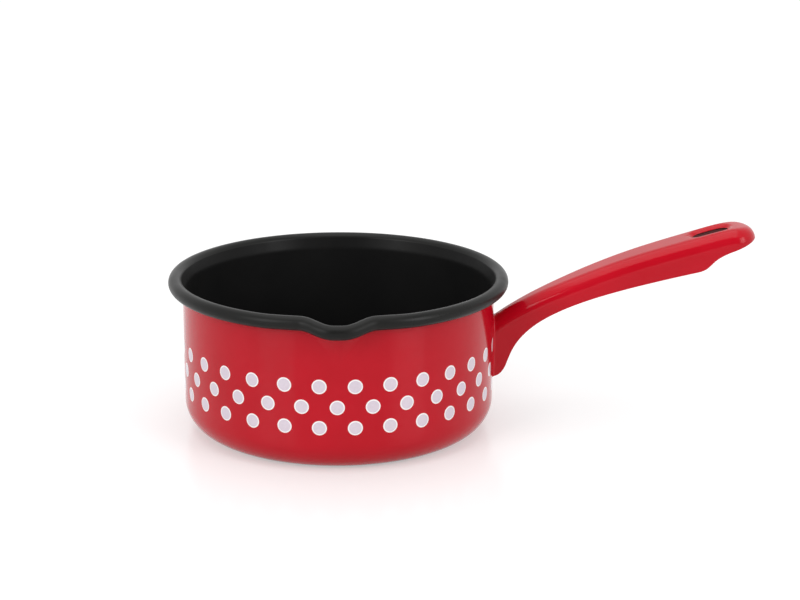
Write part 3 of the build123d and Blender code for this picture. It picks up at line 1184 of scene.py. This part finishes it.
@dataclass
class Handle:
    """The pan's handle: a steel channel, its red coat and its dark lining."""

    form: HandleForm = field(default_factory=HandleForm)
    sheet_thickness: float = 1.2
    root_zone: float = 8.0
    grip_start: float = 150.0
    hole_approach: float = 5.0
    outer_approach: float = 1.5
    end_zone: float = 1.0
    turn_ribs: int = 30
    side_rows: int = 7
    shoulder_rows: int = 12
    crown_rows: int = 12
    hole_rows: int = 5
    hole_turn_rows: int = 3
    hole_crowding: float = 1.7
    hole_turn_radius: float = 0.35
    hole_wall_share: float = 0.25
    least_side: float = 0.8
    sharp_angle: float = 40.0

    def ribs(self) -> list[RibPlace]:
        """Places of the ribs across the near half.

        Returns:
            The places, from the root to the middle of the tip.
        """
        form = self.form
        half_slot, slot_radius = (form.hole_length - form.hole_width) / 2, form.hole_width / 2
        root, hole_start = form.root_start, form.hole_x - form.hole_length / 2
        root_zone, approach = root + self.root_zone, hole_start - self.hole_approach
        first_turn, last_turn = form.hole_x - half_slot, form.hole_x + half_slot
        quarter = slot_radius * pi / 2
        slot_start, slot_end = hole_start + quarter, hole_start + quarter + 2 * half_slot
        stretches = (
            (16, (root, root_zone), (root, root_zone)),
            (44, (root_zone, self.grip_start), (root_zone, self.grip_start)),
            (20, (self.grip_start, approach), (self.grip_start, approach)),
            (8, (approach, approach + self.outer_approach), (approach, hole_start)),
            (12, (approach + self.outer_approach, first_turn), (hole_start, slot_start)),
            (8, (first_turn, last_turn), (slot_start, slot_end)),
        )
        ribs = []
        for steps, outer, inner in stretches:
            for step in range(steps):
                places = [start + (end - start) * step / steps for start, end in (outer, inner)]
                ribs.append(RibPlace(places[0], 0.0, places[1]))
        straight = form.tip_centre - last_turn
        total = straight + form.grip_half_width * pi / 2
        for step in range(self.turn_ribs + 1):
            share = step / self.turn_ribs
            way = total * share
            turn = degrees(max(0.0, way - straight) / form.grip_half_width)
            ribs.append(RibPlace(last_turn + min(way, straight), turn, slot_end + quarter * share))
        return ribs

    def inner_end(self, way: float, grow: float) -> tuple[float, float, float, float]:
        """A point of the middle line, or of the hole's near edge.

        Args:
            way: How far along it, as x up to the hole.
            grow: How much larger than its outline the hole is taken.

        Returns:
            The place in plan, and the direction away from the hole, or zeros off it.
        """
        form = self.form
        half_slot, radius = (form.hole_length - form.hole_width) / 2, form.hole_width / 2
        start, quarter = form.hole_x - form.hole_length / 2, radius * pi / 2
        past = way - start
        if past < 0:
            return way - grow * max(0.0, 1 + past / self.hole_approach), 0.0, 0.0, 0.0
        if past < quarter:
            angle, centre = pi + past / radius, form.hole_x - half_slot
        elif past < quarter + 2 * half_slot:
            angle, centre = 1.5 * pi, form.hole_x - half_slot + past - quarter
        else:
            angle, centre = 1.5 * pi + (past - quarter - 2 * half_slot) / radius, form.hole_x + half_slot
        away = (cos(angle), sin(angle))
        return centre + (radius + grow) * away[0], (radius + grow) * away[1], away[0], away[1]

    def foot(self, place: RibPlace, inset: float) -> tuple[Vector, Vector]:
        """Where a rib stands on the outline of the plan.

        Args:
            place: The rib's place.
            inset: How far inside the outer face the surface lies.

        Returns:
            The point in plan, and the direction out of the side.
        """
        form = self.form
        if place.turn > 0:
            outward = Vector((sin(radians(place.turn)), -cos(radians(place.turn)), 0.0))
            return Vector((form.tip_centre, 0.0, 0.0)) + outward * (form.grip_half_width - inset), outward
        width, slope = form.plan.at_with_slope(place.along)
        outward = Vector((slope, -1.0, 0.0)).normalized()
        if place.along > form.tip_centre - self.end_zone:
            outward = Vector((0.0, -1.0, 0.0))
        return Vector((place.along, -width, 0.0)) - outward * inset, outward

    def side_and_shoulder(self, place: RibPlace, inset: float) -> list[Vector]:
        """Points of a rib up the side and round the shoulder.

        Args:
            place: The rib's place.
            inset: How far inside the outer face the surface lies.

        Returns:
            The points in millimetres, from the lower edge.
        """
        radius = self.form.shoulder_radius - inset
        edge, outward = self.foot(place, inset)
        middle = edge - outward * radius
        centre, normal = self.form.ball(middle.x, inset, radius)
        middle.z = centre.z
        full = acos(max(-1.0, min(1.0, outward.dot(normal))))
        start = self.form.lower_edge(edge.x) - middle.z
        if start > 0:
            start = radius * asin(start / radius * sin(full) / normal.z)
        bend = max(0.0, start + self.least_side)
        ways = [start + (bend - start) * row / self.side_rows for row in range(self.side_rows)]
        rest = radius * full - bend
        ways += [bend + rest * row / self.shoulder_rows for row in range(self.shoulder_rows + 1)]
        points = []
        for way in ways:
            if way < 0:
                points.append(Vector((edge.x, edge.y, middle.z + way)))
                continue
            share = way / radius
            spoke = outward * sin(full - share) + normal * sin(share)
            points.append(middle + spoke / sin(full) * radius)
        return points

    def crown_and_hole(self, place: RibPlace, start: Vector, inset: float, wall: float) -> list[Vector]:
        """Points of a rib over the crown, and down into the hanging hole where it meets it.

        Args:
            place: The rib's place.
            start: Where the shoulder ends.
            inset: How far inside the outer face the surface lies.
            wall: How far the sheet runs straight down in the hole.

        Returns:
            The points in millimetres, from the shoulder.
        """
        x, y, away_x, away_y = self.inner_end(place.way, inset)
        on_hole = bool(away_x or away_y)
        points = []
        for row in range(1, self.crown_rows + 1):
            share = row / self.crown_rows
            share = 1 - (1 - share) ** self.hole_crowding if on_hole else share
            over = start.x + (x - start.x) * share, start.y + (y - start.y) * share
            points.append(self.form.top(*over, inset)[0])
        if not on_hole:
            return points + [points[-1].copy() for _ in range(self.hole_rows)]
        edge, up = self.form.top(x, y, inset)
        inward = Vector((-away_x, -away_y, 0.0)) * self.hole_turn_radius
        for row in range(1, self.hole_rows + 1):
            bend = min(1.0, row / self.hole_turn_rows) * pi / 2
            straight = max(0, row - self.hole_turn_rows) / (self.hole_rows - self.hole_turn_rows)
            down = self.hole_turn_radius * (1 - cos(bend)) + wall * straight
            points.append(edge + inward * sin(bend) - up * down)
        return points

    def rib(self, place: RibPlace, inset: float, wall: float = 0.0) -> list[Vector]:
        """Points of one rib, from the lower edge over the shoulder to the middle or the hole.

        Args:
            place: The rib's place.
            inset: How far inside the outer face the surface lies.
            wall: How far the sheet runs straight down in the hanging hole.

        Returns:
            The points in millimetres.
        """
        side = self.side_and_shoulder(place, inset)
        points = side + self.crown_and_hole(place, side[-1], inset, wall)
        tip = self.form.tip_centre
        for point in points:
            if point.x > tip:
                point.x = tip + (point.x - tip) * self.form.tip_length_share
        return points

    def shell(self, name: str, inset: float, thickness: float) -> bpy.types.Object:
        """One layer of the handle.

        Args:
            name: Name of the piece.
            inset: How far inside the handle's outer face it starts.
            thickness: How thick it is.

        Returns:
            The piece.
        """
        ribs = [self.rib(place, inset, thickness * self.hole_wall_share) for place in self.ribs()]
        piece = Bench.sheet(name, ribs)
        Bench.weld_doubles(piece, 2 * SAME_PLACE)
        Bench.apply(piece, "MIRROR", use_axis=(False, True, False), merge_threshold=3 * SAME_PLACE)
        Bench.face_out(piece)
        top = max(piece.data.polygons, key=lambda face: face.center.z)
        if top.normal.z < 0:
            with Bench.editing(piece):
                bpy.ops.mesh.flip_normals()
        Bench.apply(piece, "SOLIDIFY", thickness=thickness * MM, offset=-1.0, use_even_offset=True)
        end = (self.form.root_end * MM, 0.0, 0.0)
        with Bench.editing(piece):
            bpy.ops.mesh.bisect(plane_co=end, plane_no=(1.0, 0.0, 0.0), use_fill=True, clear_inner=True)
        bpy.ops.object.shade_smooth_by_angle(angle=radians(self.sharp_angle))
        return piece


@dataclass
class Weld:
    """The smooth seam of weld round the handle's root, enamelled over."""

    handle: Handle = field(default_factory=Handle)
    root_ribs: int = 40
    leg: float = 1.35
    steps: int = 8
    fullness: float = 0.18
    sunk: float = 0.2
    sharp_angle: float = 50.0

    def crossing(self, line: Sequence[Vector], radius: float) -> Vector:
        """Where a line along the handle leaves a cylinder round the pan.

        Args:
            line: Points from the root outward.
            radius: The cylinder's radius.

        Returns:
            The place in millimetres.
        """
        for before, after in zip(line, line[1:]):
            near, far = (hypot(point.x, point.y) for point in (before, after))
            if near < radius <= far:
                return before.lerp(after, (radius - near) / (far - near))
        return line[0]

    def section(self, corners: Sequence[Vector], ends: Sequence[Vector], place: int) -> list[Vector]:
        """The seam's section at one point of its path.

        Args:
            corners: Where the handle meets the wall.
            ends: Where the seam runs out on the handle.
            place: Which point of the path.

        Returns:
            Its points in millimetres.
        """
        corner, end = corners[place], ends[place]
        before, after = corners[max(place - 1, 0)], corners[min(place + 1, len(corners) - 1)]
        along = Vector((0.0, after.y - before.y, after.z - before.z)).normalized()
        out = Vector((0.0, -along.z, along.y))
        foot = corner + out * self.leg
        foot.x = sqrt(self.handle.form.bowl_radius**2 - foot.y**2)
        middle = corner + (foot + end - corner * 2) * self.fullness
        face = []
        for step in range(self.steps + 1):
            share = step / self.steps
            face.append(foot.lerp(middle, share).lerp(middle.lerp(end, share), share))
        inward = out * -self.sunk
        under = Vector((-self.sunk, 0.0, 0.0))
        return face + [end + inward, corner + inward + under, foot + under, foot.copy()]

    def seam(self) -> bpy.types.Object:
        """The seam, from foot to foot over the crown.

        Returns:
            The piece.
        """
        radius, handle = self.handle.form.bowl_radius, self.handle
        ribs = [handle.rib(place, 0.0) for place in handle.ribs()[:self.root_ribs]]
        columns = range(handle.side_rows + handle.shoulder_rows + handle.crown_rows + 1)
        lines = [[rib[column] for rib in ribs] for column in columns]
        corners, ends = (
            [self.crossing(line, reach) for line in lines] for reach in (radius, radius + self.leg)
        )
        for side in (corners, ends):
            side += [Vector((point.x, -point.y, point.z)) for point in reversed(side[:-1])]
        sections = [self.section(corners, ends, place) for place in range(len(corners))]
        piece = Bench.sheet("root_seam", sections)
        Bench.weld_doubles(piece, SAME_PLACE)
        with Bench.editing(piece):
            bpy.ops.mesh.select_all(action="DESELECT")
            bpy.ops.mesh.select_non_manifold()
            bpy.ops.mesh.fill_holes(sides=0)
        Bench.face_out(piece, self.sharp_angle)
        return piece


# The studio


@dataclass(frozen=True)
class Lamp:
    """A soft square lamp that looks at a point of the pan."""

    name: str
    place: Place
    aim: Place
    width: float
    depth: float
    power: float
    tint: Colour = (1.0, 1.0, 1.0)

    def hang(self) -> None:
        """Hangs the lamp in the scene."""
        data = bpy.data.lights.new(self.name, "AREA")
        data.shape = "RECTANGLE"
        data.size, data.size_y = self.width, self.depth
        data.energy, data.color = self.power, self.tint
        lamp = bpy.data.objects.new(self.name, data)
        bpy.context.scene.collection.objects.link(lamp)
        place = Vector(self.place)
        turn = (Vector(self.aim) - place).to_track_quat("-Z", "Y").to_matrix().to_4x4()
        lamp.matrix_world = Matrix.Translation(place) @ turn


@dataclass
class Studio:
    """White floor, even surroundings, soft lamps and the camera."""

    lens: float = 80.98
    sensor: float = 36.0
    camera_place: Place = (3.55, -905.09, 327.16)
    camera_right: Place = (0.99954136, -0.02969165, 0.00595679)
    camera_up: Place = (0.00251366, 0.27736914, 0.96076014)
    camera_forward: Place = (0.03017879, 0.96030452, -0.27731657)
    floor_size: float = 14.0
    floor_gap: float = 0.00005
    floor_grey: float = 0.66
    floor_roughness: float = 0.22
    floor_reflectivity: float = 0.22
    floor_glow: float = 0.40
    surroundings: float = 0.55
    card_width: float = 4.4
    card_height: float = 2.6
    card_place: Place = (0.1, -1.9, 1.55)
    card_grey: float = 0.03
    card_roughness: float = 0.9
    near_clip: float = 0.01
    far_clip: float = 50.0
    lamps: tuple[Lamp, ...] = (
        Lamp("ceiling_box", (-0.1, 0.0, 1.6), (0.0, 0.0, 0.0), 1.8, 1.2, 8.0),
        Lamp("left_box", (-1.3, -1.3, 0.9), (0.0, 0.0, 0.04), 0.9, 1.2, 13.0),
        Lamp("right_box", (1.5, -1.2, 0.9), (0.05, 0.0, 0.05), 0.9, 1.2, 13.0),
    )

    def camera(self) -> None:
        """Sets up the camera at the photograph's viewing angle."""
        data = bpy.data.cameras.new("camera")
        data.lens, data.sensor_width = self.lens, self.sensor
        data.clip_start, data.clip_end = self.near_clip, self.far_clip
        camera = bpy.data.objects.new("camera", data)
        bpy.context.scene.collection.objects.link(camera)
        back = -Vector(self.camera_forward)
        axes = Matrix((self.camera_right, self.camera_up, back)).transposed().to_4x4()
        camera.matrix_world = Matrix.Translation(Vector(self.camera_place) * MM) @ axes
        bpy.context.scene.camera = camera

    @staticmethod
    def seen_share(nodes: Nodes) -> bpy.types.NodeSocket:
        """Tells what the camera sees, straight or in a reflection, from what only lights.

        Args:
            nodes: The tree that asks.

        Returns:
            1 for what is seen, and 0 for light.
        """
        path = nodes.add("LightPath", {})
        share = path.outputs["Is Camera Ray"]
        for ray in ("Is Glossy Ray", "Is Transmission Ray"):
            larger = nodes.add("Math", {0: share, 1: path.outputs[ray]})
            larger.operation = "MAXIMUM"
            share = larger.outputs[0]
        return share

    def world(self) -> None:
        """Surrounds the pan with even white light, and shows white behind it."""
        nodes = Nodes(bpy.data.worlds.new("surroundings"))
        white = (1.0, 1.0, 1.0, 1.0)
        lit = nodes.add("Background", {"Color": white, "Strength": self.surroundings})
        seen = nodes.add("Background", {"Color": white, "Strength": 1.0})
        shaders = {0: self.seen_share(nodes), 1: lit.outputs[0], 2: seen.outputs[0]}
        bpy.context.scene.world = nodes.surface(nodes.add("MixShader", shaders))

    @staticmethod
    def plane(name: str, place: Place, across: Place, up: Place) -> bpy.types.Object:
        """Sets up a flat square of the studio.

        Args:
            name: Its name.
            place: Its middle in metres.
            across: One side, as a length and a direction.
            up: The other side.

        Returns:
            The square.
        """
        Bench.clear()
        bpy.ops.mesh.primitive_plane_add(size=1)
        square = bpy.context.object
        square.name = square.data.name = name
        for vertex in square.data.vertices:
            vertex.co = Vector(place) + Vector(across) * vertex.co.x + Vector(up) * vertex.co.y
        return square

    def floor(self) -> None:
        """Lays a white, faintly glossy floor that keeps the pan's shadow."""
        size = self.floor_size
        floor = self.plane("floor", (0.0, 0.0, -self.floor_gap), (size, 0.0, 0.0), (0.0, size, 0.0))
        nodes = Nodes(bpy.data.materials.new("white_floor"))
        grey = (self.floor_grey, self.floor_grey, self.floor_grey, 1.0)
        lit = nodes.add("BsdfPrincipled", {
            "Base Color": grey,
            "Roughness": self.floor_roughness,
            "Specular IOR Level": self.floor_reflectivity,
        })
        glow = nodes.add("Emission", {"Strength": self.floor_glow})
        both = nodes.add("AddShader", {0: lit.outputs[0], 1: glow.outputs[0]})
        shaders = {0: self.seen_share(nodes), 1: lit.outputs[0], 2: both.outputs[0]}
        floor.data.materials.append(nodes.surface(nodes.add("MixShader", shaders)))

    def dark_card(self) -> None:
        """Stands a dark card behind the camera, which only reflections show."""
        across, up = (self.card_width, 0.0, 0.0), (0.0, 0.0, self.card_height)
        card = self.plane("dark_card", self.card_place, across, up)
        nodes = Nodes(bpy.data.materials.new("dark_card"))
        grey = (self.card_grey, self.card_grey, self.card_grey, 1.0)
        shader = nodes.add("BsdfPrincipled", {"Base Color": grey, "Roughness": self.card_roughness})
        card.data.materials.append(nodes.surface(shader))
        card.visible_camera = card.visible_diffuse = card.visible_shadow = False

    def build(self) -> None:
        """Sets the whole studio up."""
        self.camera()
        self.world()
        self.floor()
        self.dark_card()
        for lamp in self.lamps:
            lamp.hang()
        bpy.context.scene.view_settings.view_transform = "Standard"


# Putting it together


def dress(piece: bpy.types.Object, finish: bpy.types.Material, slot: str, *nodes: str) -> None:
    """Gives a piece its finish and puts it in the place of the CAD nodes that it stands for.

    Args:
        piece: The finished piece.
        finish: Its material.
        slot: The record's material slot; not used.
        *nodes: The CAD nodes that it replaces.
    """
    piece.data.materials.clear()
    piece.data.materials.append(finish)
    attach(piece, BODY)
    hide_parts(*nodes)
    log.info("%s: %d faces, stands for %s", piece.name, len(piece.data.polygons), ", ".join(nodes))


def main() -> None:
    """Builds the studio and every piece of the pan."""
    logging.basicConfig(level=logging.INFO, format="%(message)s")
    Studio().build()
    red, black, rim_black = RED.material(), BLACK.material(), RIM_BLACK.material()
    coats = PanCoats()
    dress(coats.core(), STEEL.material(), "bowl_steel", "bowl")
    dress(coats.outer(), red, "outer_enamel", "outer_enamel")
    dress(coats.inner(), black, "inner_enamel", "inner_enamel")
    dress(coats.rim(), rim_black, "rim_enamel", "rim_enamel")
    dress(coats.base(), black, "base_enamel", "base_enamel")
    dots = DOTS.material()
    for node, row in DotRows().rows().items():
        dress(row, dots, "dot_enamel", node)
    handle = Handle()
    coat, sheet = coats.form.enamel_thickness, handle.sheet_thickness
    handle_red = HANDLE_RED.material()
    dress(handle.shell("handle_coat", 0.0, coat), handle_red, "handle_enamel", "handle_enamel")
    dress(handle.shell("handle_sheet", coat, sheet), GROUND.material(), "handle_steel", "handle")
    inside = handle.shell("handle_inside", coat + sheet, coat)
    dress(inside, LINING.material(), "handle_lining", "handle_lining")
    dress(Weld(handle).seam(), handle_red, "weld", "handle_weld")


if __name__ == "__main__":
    main()
